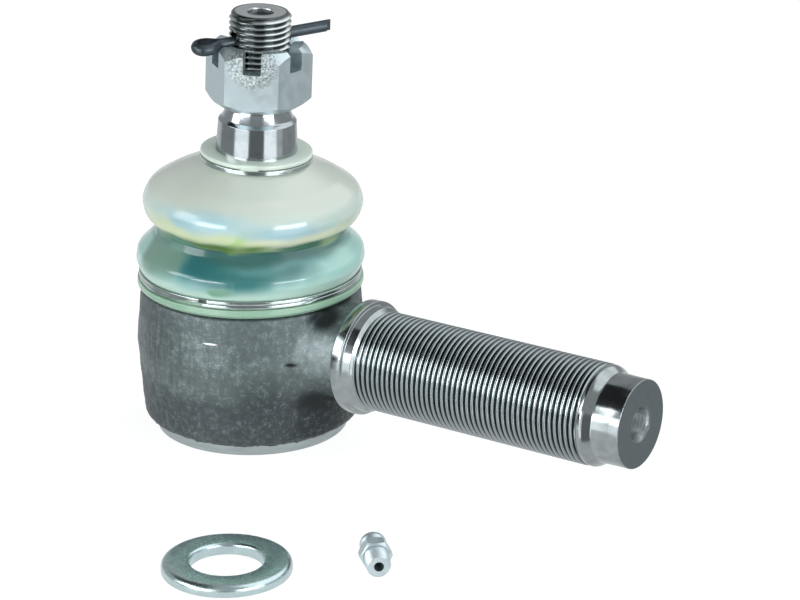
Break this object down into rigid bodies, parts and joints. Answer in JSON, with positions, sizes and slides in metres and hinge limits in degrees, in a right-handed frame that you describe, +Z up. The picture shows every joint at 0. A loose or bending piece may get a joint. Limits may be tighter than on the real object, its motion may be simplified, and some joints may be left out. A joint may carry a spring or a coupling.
{
  "type": "tie rod end",
  "caption": "Steering ball joint end: socket housing with a long threaded shank, bellows boot, tapered stud with castle nut and split pin, loose washer and grease nipple.",
  "frame": {"origin": "centre of the ball, where the stud's axis, the housing's axis and the shank's axis meet", "axes": "+Z up the housing's axis towards the stud, +X along the threaded shank towards its end"},
  "size_m": [0.1488, 0.1258, 0.1136],
  "materials": {
    "boot_urethane": "milky translucent polyurethane",
    "dark_steel": "dark phosphated wire",
    "forged_steel": "shot blasted forging, bare",
    "ground_steel": "fine ground",
    "seat_plastic": "white acetal",
    "spring_steel": "oiled spring steel",
    "turned_steel": "turned and rolled thread, bright",
    "zinc_plate": "pale blue zinc plate"
  },
  "bodies": {
    "socket": {"housing": "forged_steel", "upper_seat": "seat_plastic", "lower_seat": "seat_plastic", "preload_spring": "spring_steel", "cover_plate": "zinc_plate", "boot_bottom_ring": "zinc_plate"},
    "boot_middle": {"dust_boot": "boot_urethane"},
    "boot_lip": {"boot_top_ring": "zinc_plate"},
    "stud": {"ball_stud": "ground_steel", "castle_nut": "zinc_plate"},
    "split_pin": {"cotter_pin": "dark_steel"},
    "washer": {"flat_washer": "zinc_plate"},
    "nipple": {"nipple_body": "zinc_plate", "nipple_spring": "spring_steel"},
    "nipple_valve": {"nipple_ball": "turned_steel"}
  },
  "joints": [
    {"name": "stud_sway", "type": "hinge", "parent": "socket", "child": "boot_middle", "pos_m": [0, 0, 0], "axis": [0, 1, 0], "range_deg": [-20, 15], "deforming": ["dust_boot"]},
    {"name": "stud_cross", "type": "hinge", "parent": "boot_middle", "child": "boot_lip", "pos_m": [0, 0, 0], "axis": [0.9987, 0, -0.0506], "range_deg": [-17, 17]},
    {"name": "stud_spin", "type": "hinge", "parent": "boot_lip", "child": "stud", "pos_m": [0, 0, 0], "axis": [0.0506, 0, 0.9987], "continuous": true},
    {"name": "pin_pull", "type": "slide", "parent": "stud", "child": "split_pin", "axis": [-0.5168, -0.8539, -0.0611], "range_m": [0, 0.036]},
    {"name": "washer_lift", "type": "slide", "parent": "socket", "child": "washer", "axis": [0, 0, 1], "range_m": [0, 0.03]},
    {"name": "nipple_lift", "type": "slide", "parent": "socket", "child": "nipple", "axis": [0, 0, 1], "range_m": [0, 0.03]},
    {"name": "nipple_check", "type": "slide", "parent": "nipple", "child": "nipple_valve", "axis": [0.6574, -0.7536, 0], "range_m": [0, 0.0006], "stiffness_N_per_m": 400}
  ]
}
